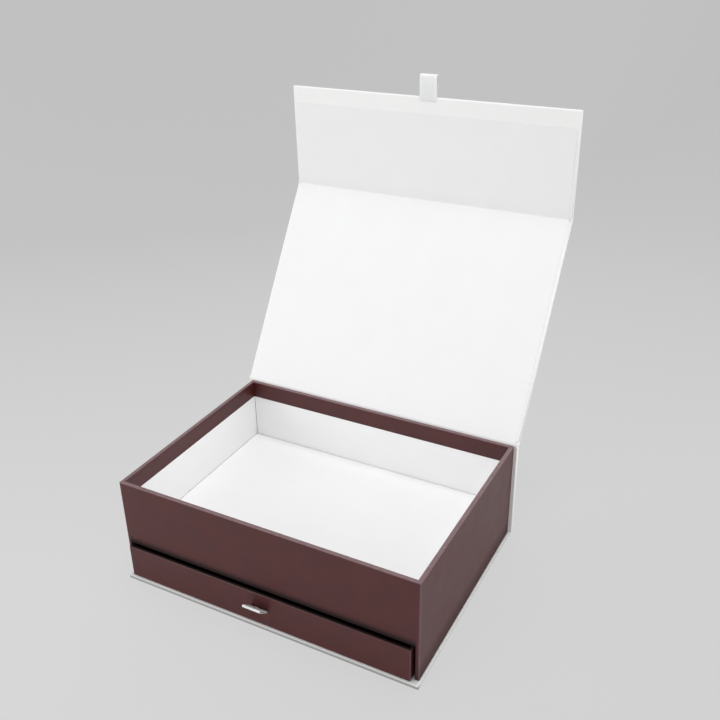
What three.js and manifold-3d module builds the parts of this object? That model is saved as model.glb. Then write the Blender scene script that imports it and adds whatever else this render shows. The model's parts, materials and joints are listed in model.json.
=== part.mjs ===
// Gift box with a tray over a sliding drawer, held in a folding case of wrapped boards.
// Millimetres, +Z up, +X along the front, +Y from the front towards the spine.
// The origin is the middle of the case's underside.
import * as THREE from "three";
import { mergeVertices } from "three/addons/utils/BufferGeometryUtils.js";
import Module from "manifold-3d";

const wasm = await Module();
wasm.setup();

// Boards, papers and the room between pieces
const boardThickness = 3;
const wallThickness = 3.5;
const floorThickness = 2;
const drawerWall = 2;
const paper = 0.4;
const glue = 0.1;
const clearance = 0.3;
const lidClearance = 0.2;
const overrun = 5;
const weldReach = 0.0001;

// The box: drawer bay below, tray above
const boxWidth = 300;
const boxDepth = 216.5;
const bayHeight = 35.2;
const trayHeight = 66.1;
const turnIn = 18;
const boxCorner = 0.7;
const wallEdge = 0.7;
const innerCorner = 0.2;

// The case round the box
const sideReveal = 4.5;
const frontReveal = 6.3;
const boardEdge = 1.2;
const boardCorner = 0.3;
const lidEdgeGap = 1.2;
const foldGap = 0.2;
const liningMargin = 3;
const flapTurnIn = 17;
const creaseRise = 1;

// The drawer
const drawerSideRoom = 1.3;
const drawerShift = 0.8;
const drawerUnder = 0.4;
const drawerOver = 0.7;
const drawerRecess = 2.6;
const drawerBackRoom = 0.5;
const drawerOpen = 5.8;
const drawerTurnIn = 12;
const drawerEdge = 0.6;

// The flap's magnets and the steel discs in the drawer front that they meet
const magnetRadius = 6;
const magnetThickness = 2;
const keeperThickness = 1;
const magnetInset = 55;
const magnetReach = 78;
const discChamfer = 0.2;
const pocketRoom = 0.1;

// The two ribbon loops
const ribbonWidth = 18;
const ribbonThickness = 0.5;
const flapLoopLength = 21.5;
const flapLoopSpread = 5;
const flapLoopRoot = 2.7;
const flapTailLength = 5.5;
const flapRibbonShift = 1.2;
const drawerLoopLength = 15;
const drawerLoopSpread = 2.3;
const drawerRibbonShift = 1.2;
const layerGap = 0.1;
const slotRoom = 0.4;
const tailReach = 14;

// How the moving pieces stand at rest
const degree = Math.PI / 180;
const lidAngle = 57.3 * degree;
const flapBend = 34 * degree;
const flapLoopLean = -3 * degree;
const drawerLoopRise = 40.5 * degree;

// Shares and step counts
const edgeLimitShare = 0.45;
const bendReachShare = 0.4;
const edgeSteps = 3;
const cornerSteps = 3;
const bandSteps = 8;
const loopSteps = 10;
const discSteps = 32;

// Heights above the underside
const baseTop = boardThickness;
const floorUnderside = baseTop + bayHeight;
const floorTop = floorUnderside + floorThickness;
const rimTop = floorTop + trayHeight;

// Places along the case, from its front edge to its spine
const caseWidth = boxWidth + 2 * sideReveal;
const caseDepth = frontReveal + boxDepth + glue + boardThickness;
const caseFront = -caseDepth / 2;
const spineBack = caseDepth / 2;
const boxFront = caseFront + frontReveal;
const boxMiddle = boxFront + boxDepth / 2;
const spineFront = spineBack - boardThickness;

// A lining sheet stands this far off its board
const liningTop = glue + paper;
const caseLiningWidth = caseWidth - 2 * liningMargin;

// The lid turns about the spine's outer face, at the height of the closed lid's middle
const hingeHeight = rimTop + lidClearance + liningTop + boardThickness / 2;
const hingeSwing = Math.hypot(boardThickness / 2, lidEdgeGap);
const spineTop = hingeHeight - hingeSwing - clearance;

// The flap turns about the middle of its own board, which hangs in front of the box when closed
const closedFlapMiddle = boxFront - clearance - liningTop - boardThickness / 2;
const foldReach = spineBack - closedFlapMiddle;
const foldEdgeGap = boardThickness / 2 + liningTop + foldGap;
const flapReach = hingeHeight - baseTop - clearance;

// The drawer between the walls
const bayWidth = boxWidth - 2 * wallThickness;
const drawerWidth = bayWidth - 2 * drawerSideRoom;
const drawerDepth = boxDepth - wallThickness - drawerRecess - drawerBackRoom;
const drawerHeight = bayHeight - drawerUnder - drawerOver;
const drawerFace = boxFront + drawerRecess - drawerOpen;
const drawerBottom = baseTop + drawerUnder;

// Distance of each magnet and steel disc from the middle of the box's width
const magnetSpread = boxWidth / 2 - magnetInset;

// Both ribbon layers lying together
const foldedRibbon = 2 * ribbonThickness + layerGap;

// Papers, board and metal
const finish = (color, roughness, metalness) =>
  new THREE.MeshStandardMaterial({ color, roughness, metalness });
const whitePaper = () => finish(0xf0f0ee, 0.6, 0);
const maroonPaper = () => finish(0x5c3b40, 0.42, 0);
const whiteLining = () => finish(0xf4f4f5, 0.75, 0);
const satinRibbon = () => finish(0xf5eeee, 0.4, 0);
const platedSteel = () => finish(0xb4b8bd, 0.3, 1);

// Turns a section drawn in x and y so that it lies in Y and Z, with its depth along X.
const sectionAcross = new THREE.Matrix4().makeBasis(
  new THREE.Vector3(0, 1, 0),
  new THREE.Vector3(0, 0, 1),
  new THREE.Vector3(1, 0, 0),
);

function piece(name, geometry, material, x = 0, y = 0, z = 0) {
  const mesh = new THREE.Mesh(geometry, material);
  mesh.name = name;
  mesh.position.set(x, y, z);
  return mesh;
}

function groupOf(...children) {
  const group = new THREE.Group();
  group.add(...children);
  return group;
}

function solidOf(geometry) {
  const bare = geometry.clone();
  bare.deleteAttribute("normal");
  bare.deleteAttribute("uv");
  const merged = mergeVertices(bare, weldReach);
  return new wasm.Manifold(
    new wasm.Mesh({
      numProp: 3,
      vertProperties: new Float32Array(merged.attributes.position.array),
      triVerts: new Uint32Array(merged.index.array),
    }),
  );
}

function geometryOf(solid) {
  const made = solid.getMesh();
  const geometry = new THREE.BufferGeometry();
  const position = new THREE.BufferAttribute(made.vertProperties, 3);
  geometry.setAttribute("position", position);
  geometry.setIndex(new THREE.BufferAttribute(made.triVerts, 1));
  const faceted = geometry.toNonIndexed();
  faceted.computeVertexNormals();
  return faceted;
}

function cut(geometry, ...cutters) {
  let solid = solidOf(geometry);
  for (const cutter of cutters) solid = solid.subtract(solidOf(cutter));
  return geometryOf(solid);
}

const keep = (geometry, region) =>
  geometryOf(solidOf(geometry).intersect(solidOf(region)));

// A plain region of space for trimming, from its lowest to its highest corner
function region(low, high) {
  const size = new THREE.Vector3().subVectors(high, low);
  const middle = new THREE.Vector3().addVectors(low, high).divideScalar(2);
  return new THREE.BoxGeometry(size.x, size.y, size.z).translate(
    middle.x,
    middle.y,
    middle.z,
  );
}

function roundedRectangle(width, height, radius, path = new THREE.Shape()) {
  const x = width / 2;
  const y = height / 2;
  path.moveTo(radius - x, -y);
  path.lineTo(x - radius, -y);
  path.absarc(x - radius, radius - y, radius, -Math.PI / 2, 0, false);
  path.lineTo(x, y - radius);
  path.absarc(x - radius, y - radius, radius, 0, Math.PI / 2, false);
  path.lineTo(radius - x, y);
  path.absarc(radius - x, y - radius, radius, Math.PI / 2, Math.PI, false);
  path.lineTo(-x, radius - y);
  path.absarc(radius - x, radius - y, radius, Math.PI, Math.PI * 1.5, false);
  path.closePath();
  return path;
}

const softened = (radius, thickness) =>
  Math.min(radius, thickness * edgeLimitShare);

// A board lying flat round the origin, with its wrap turned softly over every edge
function wrappedBoard(width, length, thickness, edgeRadius) {
  const edge = softened(edgeRadius, thickness);
  const depth = thickness - 2 * edge;
  const outline = roundedRectangle(
    width - 2 * edge,
    length - 2 * edge,
    boardCorner,
  );
  return new THREE.ExtrudeGeometry(outline, {
    depth,
    bevelThickness: edge,
    bevelSize: edge,
    bevelSegments: edgeSteps,
    curveSegments: cornerSteps,
  }).translate(0, 0, -depth / 2);
}

// A case board that runs from one distance to another along Y. An end that meets a crease is
// square, because the paper runs on from it, and any other end is rounded.
function caseBoard(from, to, squareStart, squareEnd) {
  const start = squareStart ? from - overrun : from;
  const end = squareEnd ? to + overrun : to;
  const board = wrappedBoard(caseWidth, end - start, boardThickness, boardEdge);
  board.translate(0, (start + end) / 2, 0);
  const side = caseWidth / 2 + overrun;
  const face = boardThickness / 2 + overrun;
  return keep(
    board,
    region(
      new THREE.Vector3(-side, squareStart ? from : from - overrun, -face),
      new THREE.Vector3(side, squareEnd ? to : to + overrun, face),
    ),
  );
}

// A sheet of lining paper lying flat round the origin
function liningSheet(width, length) {
  const outline = roundedRectangle(width, length, innerCorner);
  return new THREE.ExtrudeGeometry(outline, {
    depth: paper,
    bevelEnabled: false,
    curveSegments: cornerSteps,
  }).translate(0, 0, -paper / 2);
}

// Four upright walls in one ring, standing on z = 0, with rounded corners and rim
function wallRing(width, depth, height, wall, edgeRadius) {
  const edge = softened(edgeRadius, wall);
  const outline = roundedRectangle(
    width - 2 * edge,
    depth - 2 * edge,
    boxCorner,
  );
  const inside = roundedRectangle(
    width - 2 * wall + 2 * edge,
    depth - 2 * wall + 2 * edge,
    edge + innerCorner,
    new THREE.Path(),
  );
  outline.holes.push(inside);
  return new THREE.ExtrudeGeometry(outline, {
    depth: height - 2 * edge,
    bevelThickness: edge,
    bevelSize: edge,
    bevelSegments: edgeSteps,
    curveSegments: cornerSteps,
  }).translate(0, 0, edge);
}

// The five sheets of one paper that line a room centred on the origin, floor at z = 0.
// The wall sheets stop below the rim, where the walls' own paper is turned in.
function linings(room, cover, width, depth, height) {
  const across = width - 2 * liningTop - 2 * glue;
  const along = depth - 2 * glue;
  const lift = glue + height / 2;
  const left = liningSheet(height, along).rotateY(Math.PI / 2);
  const front = liningSheet(across, height).rotateX(Math.PI / 2);
  const sideX = width / 2 - glue - paper / 2;
  const endY = depth / 2 - glue - paper / 2;
  const floor = liningSheet(across, along - 2 * liningTop);
  return groupOf(
    piece(`${room}_left_lining`, left, cover(), -sideX, 0, lift),
    piece(`${room}_right_lining`, left.clone(), cover(), sideX, 0, lift),
    piece(`${room}_front_lining`, front, cover(), 0, -endY, lift),
    piece(`${room}_back_lining`, front.clone(), cover(), 0, endY, lift),
    piece(`${room}_floor_lining`, floor, cover(), 0, 0, glue + paper / 2),
  );
}

// A strip of paper across the case that bends from one direction to another
function creaseBand(name, width, material, start, startWay, end, endWay) {
  const reach = start.distanceTo(end) * bendReachShare;
  const path = new THREE.CubicBezierCurve(
    start,
    start.clone().addScaledVector(startWay, reach),
    end.clone().addScaledVector(endWay, -reach),
    end,
  );
  const faces = [-paper / 2, paper / 2].map((offset) =>
    Array.from({ length: bandSteps + 1 }, (_, step) => {
      const way = path.getTangent(step / bandSteps);
      const point = path.getPoint(step / bandSteps);
      return point.add(new THREE.Vector2(-way.y, way.x).multiplyScalar(offset));
    }),
  );
  const section = new THREE.Shape([...faces[0], ...faces[1].reverse()]);
  const band = new THREE.ExtrudeGeometry(section, {
    depth: width,
    bevelEnabled: false,
  }).translate(0, 0, -width / 2);
  return piece(name, band.applyMatrix4(sectionAcross), material);
}

const wrapCrease = (name, ...bend) =>
  creaseBand(name, caseWidth, whitePaper(), ...bend);

const liningCrease = (name, ...bend) =>
  creaseBand(name, caseLiningWidth, whiteLining(), ...bend);

// A ribbon bent into a loop along +Y: two legs from the root and a round end.
// Its root lies at the origin and its width runs along X.
function ribbonLoop(length, rootSpread, tipSpread) {
  const outer = tipSpread / 2;
  const inner = outer - ribbonThickness;
  const legOuter = rootSpread / 2;
  const legInner = legOuter - ribbonThickness;
  const centre = length - outer;
  const section = new THREE.Shape();
  section.moveTo(0, -legOuter);
  section.lineTo(centre, -outer);
  section.absarc(centre, 0, outer, -Math.PI / 2, Math.PI / 2, false);
  section.lineTo(0, legOuter);
  section.lineTo(0, legInner);
  section.lineTo(centre, inner);
  section.absarc(centre, 0, inner, Math.PI / 2, -Math.PI / 2, true);
  section.lineTo(0, -legInner);
  section.closePath();
  const loop = new THREE.ExtrudeGeometry(section, {
    depth: ribbonWidth,
    bevelEnabled: false,
    curveSegments: loopSteps,
  }).translate(0, 0, -ribbonWidth / 2);
  return loop.applyMatrix4(sectionAcross);
}

// A flat disc with broken edges, from z = 0 upwards
function disc(radius, thickness) {
  const profile = [
    new THREE.Vector2(0, 0),
    new THREE.Vector2(radius - discChamfer, 0),
    new THREE.Vector2(radius, discChamfer),
    new THREE.Vector2(radius, thickness - discChamfer),
    new THREE.Vector2(radius - discChamfer, thickness),
    new THREE.Vector2(0, thickness),
  ];
  return new THREE.LatheGeometry(profile, discSteps).rotateX(Math.PI / 2);
}

// A round pocket sunk from z = 0 to its depth, open above
function pocket(depth) {
  const radius = magnetRadius + pocketRoom;
  return new THREE.CylinderGeometry(radius, radius, depth + overrun, discSteps)
    .rotateX(Math.PI / 2)
    .translate(0, 0, (overrun - depth) / 2);
}

// The base board under the box, and the paper that folds up from it to the spine
function caseBase() {
  const backEdge = spineBack - paper - glue;
  const base = caseBoard(caseFront, backEdge, false, true);
  const up = new THREE.Vector2(0, 1);
  const foldY = spineBack - paper / 2;
  const foldStart = new THREE.Vector2(foldY, clearance);
  const foldEnd = new THREE.Vector2(foldY, baseTop + creaseRise - glue);
  return groupOf(
    piece("base_board", base, whitePaper(), 0, 0, boardThickness / 2),
    wrapCrease("base_crease", foldStart, up, foldEnd, up),
  );
}

// The spine board, glued to the back of the box
function spine() {
  const bottom = baseTop + creaseRise;
  const board = caseBoard(bottom, spineTop, true, true).rotateX(Math.PI / 2);
  const middle = (spineFront + spineBack) / 2;
  return piece("spine_board", board, whitePaper(), 0, middle, 0);
}

// The wrap and the lining between the spine's top and the open lid
function lidCreases() {
  const up = new THREE.Vector2(0, 1);
  const axis = new THREE.Vector2(spineBack, hingeHeight);
  const lidWay = new THREE.Vector2(Math.cos(lidAngle), Math.sin(lidAngle));
  const lidEdge = (height) =>
    new THREE.Vector2(lidEdgeGap - glue, height)
      .rotateAround(new THREE.Vector2(), lidAngle)
      .add(axis);
  const startHeight = spineTop + glue;
  const outerStart = new THREE.Vector2(spineBack - paper / 2, startHeight);
  const innerStart = new THREE.Vector2(spineFront + paper / 2, startHeight);
  const outerEnd = lidEdge(paper / 2 - boardThickness / 2);
  const innerEnd = lidEdge(boardThickness / 2 + liningTop - paper / 2);
  return groupOf(
    wrapCrease("lid_crease", outerStart, up, outerEnd, lidWay),
    liningCrease("lid_lining_crease", innerStart, up, innerEnd, lidWay),
  );
}

// The four walls. The side walls run the full depth, and the front wall hangs over the bay.
function boxWalls() {
  const bottom = baseTop + glue;
  const height = rimTop - bottom;
  const ring = wallRing(boxWidth, boxDepth, height, wallThickness, wallEdge);
  const sideX = bayWidth / 2;
  const outX = boxWidth / 2 + overrun;
  const outY = boxDepth / 2 + overrun;
  const endX = sideX - glue;
  const left = region(
    new THREE.Vector3(-outX, -outY, -overrun),
    new THREE.Vector3(-sideX, outY, height + overrun),
  );
  const right = region(
    new THREE.Vector3(sideX, -outY, -overrun),
    new THREE.Vector3(outX, outY, height + overrun),
  );
  const back = region(
    new THREE.Vector3(-endX, 0, -overrun),
    new THREE.Vector3(endX, outY, height + overrun),
  );
  const frontHeight = rimTop - floorUnderside;
  const frontBoard = wrappedBoard(
    bayWidth + 2 * overrun,
    frontHeight,
    wallThickness,
    wallEdge,
  );
  const frontSpan = region(
    new THREE.Vector3(-endX, -frontHeight, -wallThickness),
    new THREE.Vector3(endX, frontHeight, wallThickness),
  );
  const front = keep(frontBoard, frontSpan).rotateX(Math.PI / 2);
  const frontY = boxFront + wallThickness / 2;
  const frontZ = floorUnderside + frontHeight / 2;
  return groupOf(
    piece("left_wall", keep(ring, left), maroonPaper(), 0, boxMiddle, bottom),
    piece("right_wall", keep(ring, right), maroonPaper(), 0, boxMiddle, bottom),
    piece("back_wall", keep(ring, back), maroonPaper(), 0, boxMiddle, bottom),
    piece("front_wall", front, maroonPaper(), 0, frontY, frontZ),
  );
}

// The tray's floor between the walls, and its linings
function tray() {
  const insideDepth = boxDepth - 2 * wallThickness;
  const floor = wrappedBoard(
    bayWidth - 2 * glue,
    insideDepth - 2 * glue,
    floorThickness,
    wallEdge,
  );
  const floorMiddle = floorUnderside + floorThickness / 2;
  const sheets = linings("tray", whiteLining, bayWidth, insideDepth, trayHeight - turnIn - glue);
  sheets.position.set(0, boxMiddle, floorTop);
  return groupOf(
    piece("tray_floor", floor, whiteLining(), 0, boxMiddle, floorMiddle),
    sheets,
  );
}

// The drawer front with the ribbon's slot and the pockets for the two steel discs
function drawerFront(ring) {
  const outX = drawerWidth / 2 + overrun;
  const outY = drawerDepth / 2;
  const front = keep(
    ring,
    region(
      new THREE.Vector3(-outX, -outY - overrun, -overrun),
      new THREE.Vector3(outX, drawerWall - outY, drawerHeight + overrun),
    ),
  );
  const slotX = (ribbonWidth + slotRoom) / 2;
  const slotZ = (foldedRibbon + slotRoom) / 2;
  const slot = region(
    new THREE.Vector3(-slotX, -outY - overrun, drawerHeight / 2 - slotZ),
    new THREE.Vector3(slotX, drawerWall + overrun - outY, drawerHeight / 2 + slotZ),
  ).translate(-drawerRibbonShift, 0, 0);
  const pockets = [-magnetSpread, magnetSpread].map((x) =>
    pocket(keeperThickness + pocketRoom)
      .rotateX(-Math.PI / 2)
      .translate(x + drawerShift, drawerWall - outY, keeperHeight()),
  );
  return cut(front, slot, ...pockets);
}

// Height of the steel discs above the drawer's underside, level with the closed flap's magnets
const keeperHeight = () => hingeHeight - magnetReach - drawerBottom;

// The ribbon's tail: through the slot, then spread up and down behind the drawer front
function drawerRibbonTail() {
  const outside = -drawerWall - drawerLoopSpread / 2 + clearance;
  const back = glue + ribbonThickness;
  const half = foldedRibbon / 2;
  const section = new THREE.Shape();
  section.moveTo(outside, -half);
  section.lineTo(glue, -half);
  section.lineTo(glue, -half - tailReach);
  section.lineTo(back, -half - tailReach);
  section.lineTo(back, half + tailReach);
  section.lineTo(glue, half + tailReach);
  section.lineTo(glue, half);
  section.lineTo(outside, half);
  section.closePath();
  return new THREE.ExtrudeGeometry(section, {
    depth: ribbonWidth,
    bevelEnabled: false,
  })
    .translate(0, 0, -ribbonWidth / 2)
    .applyMatrix4(sectionAcross);
}

// The drawer, drawn round its own middle with its underside at z = 0
function drawer() {
  const ring = wallRing(
    drawerWidth,
    drawerDepth,
    drawerHeight,
    drawerWall,
    drawerEdge,
  );
  const insideX = drawerWidth / 2 - drawerWall;
  const insideY = drawerDepth / 2 - drawerWall;
  const outX = drawerWidth / 2 + overrun;
  const outY = drawerDepth / 2 + overrun;
  const top = drawerHeight + overrun;
  const back = region(
    new THREE.Vector3(-outX, insideY, -overrun),
    new THREE.Vector3(outX, outY, top),
  );
  const left = region(
    new THREE.Vector3(-outX, glue - insideY, -overrun),
    new THREE.Vector3(0, insideY - glue, top),
  );
  const right = region(
    new THREE.Vector3(0, glue - insideY, -overrun),
    new THREE.Vector3(outX, insideY - glue, top),
  );
  const bottom = wrappedBoard(
    2 * insideX - 2 * glue,
    2 * insideY - 2 * glue,
    drawerWall,
    drawerEdge,
  );
  const liningHeight = drawerHeight - drawerWall - drawerTurnIn - glue;
  const tailRoom = glue + ribbonThickness;
  const liningDepth = 2 * insideY - tailRoom;
  const sheets = linings("drawer", maroonPaper, 2 * insideX, liningDepth, liningHeight);
  sheets.position.set(0, tailRoom / 2, drawerWall);
  const keeperY = drawerWall - drawerDepth / 2;
  const keepers = ["left", "right"].map((side, index) => {
    const x = (index ? magnetSpread : -magnetSpread) + drawerShift;
    const plate = disc(magnetRadius, keeperThickness).rotateX(Math.PI / 2);
    return piece(`${side}_keeper`, plate, platedSteel(), x, keeperY, keeperHeight());
  });
  const tail = drawerRibbonTail().translate(-drawerRibbonShift, keeperY, drawerHeight / 2);
  const body = groupOf(
    piece("drawer_front", drawerFront(ring), maroonPaper()),
    piece("drawer_back", keep(ring, back), maroonPaper()),
    piece("drawer_left_side", keep(ring, left), maroonPaper()),
    piece("drawer_right_side", keep(ring, right), maroonPaper()),
    piece("drawer_bottom", bottom, maroonPaper(), 0, 0, drawerWall / 2),
    piece("drawer_ribbon_tail", tail, satinRibbon()),
    sheets,
    ...keepers,
  );
  body.position.set(-drawerShift, drawerFace + drawerDepth / 2, drawerBottom);
  return body;
}

// The drawer's pull: a ribbon loop that springs up and out of the slot
function drawerRibbon() {
  const loop = ribbonLoop(drawerLoopLength, foldedRibbon, drawerLoopSpread);
  const pull = piece("drawer_ribbon", loop, satinRibbon());
  pull.position.set(
    -drawerShift - drawerRibbonShift,
    drawerFace - drawerLoopSpread / 2 - clearance,
    drawerBottom + drawerHeight / 2,
  );
  pull.rotation.x = Math.PI - drawerLoopRise;
  return pull;
}

// The flap board with a pocket for each magnet, its lining, magnets and ribbon.
// It is drawn along +Y from its fold, with its inner face upwards.
function flap() {
  const sheetLength = flapReach - flapTurnIn - foldEdgeGap;
  const innerFace = boardThickness / 2;
  const pockets = [-magnetSpread, magnetSpread].map((x) =>
    pocket(magnetThickness + pocketRoom).translate(x, magnetReach, innerFace),
  );
  const board = cut(caseBoard(foldEdgeGap, flapReach, true, false), ...pockets);
  const liningY = foldEdgeGap + sheetLength / 2;
  const liningZ = innerFace + glue + paper / 2;
  const magnets = ["left", "right"].map((side, index) => {
    const x = index ? magnetSpread : -magnetSpread;
    const magnet = disc(magnetRadius, magnetThickness);
    return piece(`${side}_magnet`, magnet, platedSteel(), x, magnetReach, innerFace - magnetThickness);
  });
  const tail = new THREE.ExtrudeGeometry(
    roundedRectangle(ribbonWidth, flapTailLength, innerCorner),
    { depth: ribbonThickness, bevelEnabled: false, curveSegments: cornerSteps },
  );
  const tailY = flapReach - flapTailLength / 2;
  const loop = ribbonLoop(flapLoopLength, flapLoopRoot, flapLoopSpread);
  const pull = piece("flap_ribbon", loop, satinRibbon());
  const frontLeg = innerFace + glue + ribbonThickness;
  pull.position.set(flapRibbonShift, flapReach + clearance, frontLeg - flapLoopRoot / 2);
  pull.rotation.x = flapLoopLean;
  return groupOf(
    piece("flap_board", board, whitePaper()),
    piece("flap_lining", liningSheet(caseLiningWidth, sheetLength), whiteLining(), 0, liningY, liningZ),
    piece("flap_ribbon_tail", tail, satinRibbon(), flapRibbonShift, tailY, innerFace + glue),
    pull,
    ...magnets,
  );
}

// The wrap and the lining between the lid and the flap, drawn along the lid
function flapCreases() {
  const along = new THREE.Vector2(1, 0);
  const flapWay = new THREE.Vector2(Math.cos(flapBend), Math.sin(flapBend));
  const fold = new THREE.Vector2(foldReach, 0);
  const lidEdge = (height) =>
    new THREE.Vector2(foldReach - foldEdgeGap + glue, height);
  const flapEdge = (height) =>
    new THREE.Vector2(foldEdgeGap - glue, height)
      .rotateAround(new THREE.Vector2(), flapBend)
      .add(fold);
  const outer = paper / 2 - boardThickness / 2;
  const inner = boardThickness / 2 + liningTop - paper / 2;
  return groupOf(
    wrapCrease("flap_crease", lidEdge(outer), along, flapEdge(outer), flapWay),
    liningCrease("flap_lining_crease", lidEdge(inner), along, flapEdge(inner), flapWay),
  );
}

// The lid and what it carries, drawn along +Y from the hinge, with its inner face upwards
function lid() {
  const from = lidEdgeGap;
  const to = foldReach - foldEdgeGap;
  const board = caseBoard(from, to, true, true);
  const sheet = liningSheet(caseLiningWidth, to - from);
  const sheetZ = boardThickness / 2 + glue + paper / 2;
  const flapGroup = flap();
  flapGroup.position.y = foldReach;
  flapGroup.rotation.x = flapBend;
  const group = groupOf(
    piece("lid_board", board, whitePaper()),
    piece("lid_lining", sheet, whiteLining(), 0, (from + to) / 2, sheetZ),
    flapCreases(),
    flapGroup,
  );
  group.position.set(0, spineBack, hingeHeight);
  group.rotation.x = lidAngle;
  return group;
}

const giftBox = groupOf(
  caseBase(),
  spine(),
  lidCreases(),
  boxWalls(),
  tray(),
  drawer(),
  drawerRibbon(),
  lid(),
);

export default giftBox;
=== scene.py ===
"""Gift box with an open tray over a sliding drawer, in a white folding case, on a pale studio floor."""
import json
import math

import bmesh
import bpy
from bpy.props import FloatProperty, FloatVectorProperty, IntProperty, PointerProperty
from bpy.types import Operator, Panel, PropertyGroup
from mathutils import Matrix, Vector


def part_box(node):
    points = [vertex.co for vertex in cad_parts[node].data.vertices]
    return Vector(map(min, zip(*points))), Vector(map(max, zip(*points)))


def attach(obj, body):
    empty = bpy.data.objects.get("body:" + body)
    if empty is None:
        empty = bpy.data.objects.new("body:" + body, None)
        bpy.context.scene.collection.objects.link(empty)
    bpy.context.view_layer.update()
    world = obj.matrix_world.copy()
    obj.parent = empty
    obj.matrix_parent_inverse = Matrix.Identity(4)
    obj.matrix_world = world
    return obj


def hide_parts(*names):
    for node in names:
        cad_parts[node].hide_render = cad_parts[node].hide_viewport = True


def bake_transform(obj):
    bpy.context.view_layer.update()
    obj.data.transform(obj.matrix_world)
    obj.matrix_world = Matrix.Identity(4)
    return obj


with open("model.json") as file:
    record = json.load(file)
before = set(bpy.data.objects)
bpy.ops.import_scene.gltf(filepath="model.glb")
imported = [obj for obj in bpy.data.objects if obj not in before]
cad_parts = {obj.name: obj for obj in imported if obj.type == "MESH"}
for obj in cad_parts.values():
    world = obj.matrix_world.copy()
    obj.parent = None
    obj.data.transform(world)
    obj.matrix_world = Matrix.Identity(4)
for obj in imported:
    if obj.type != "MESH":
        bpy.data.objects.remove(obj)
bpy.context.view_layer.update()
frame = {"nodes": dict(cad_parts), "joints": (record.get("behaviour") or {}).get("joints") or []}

bl_info = {
    "name": "Sliding Drawer Gift Box",
    "version": (1, 0, 0),
    "blender": (4, 5, 0),
    "location": "View3D > Sidebar > Gift Box",
    "description": "Wraps, lines and threads a gift box with a tray, a drawer and a folding case",
    "category": "Object",
}

MM = 0.001
# a face looks along an axis when its normal's share of that axis is above this
FACING = 0.9
# edges that turn by more degrees than this count as sharp
SHARP = 40


def joint_place(name):
    """The point that a joint turns about, in the frame of the whole box."""
    return Vector(next(j for j in frame["joints"] if j["name"] == name)["pos_m"])


LID_HINGE = joint_place("lid_hinge")
FLAP_HINGE = joint_place("flap_hinge")
FLAP_PULL = joint_place("flap_ribbon_fold")
DRAWER_PULL = joint_place("drawer_ribbon_fold")
LID_REACH = (FLAP_HINGE.yz - LID_HINGE.yz).length


def length_of(label, about, millimetres):
    """A length that the sidebar shows in the scene's own units."""
    return FloatProperty(
        name=label,
        description=about,
        default=millimetres * MM,
        min=0.0,
        precision=5,
        unit="LENGTH",
        subtype="DISTANCE",
    )


def angle_of(label, about, degrees):
    """An angle that the sidebar shows in degrees."""
    return FloatProperty(
        name=label, description=about, default=math.radians(degrees), unit="ROTATION", subtype="ANGLE"
    )


def colour_of(label, about, default):
    """A linear colour without alpha."""
    return FloatVectorProperty(
        name=label, description=about, default=default, min=0.0, max=1.0, size=3, subtype="COLOR"
    )


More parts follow.
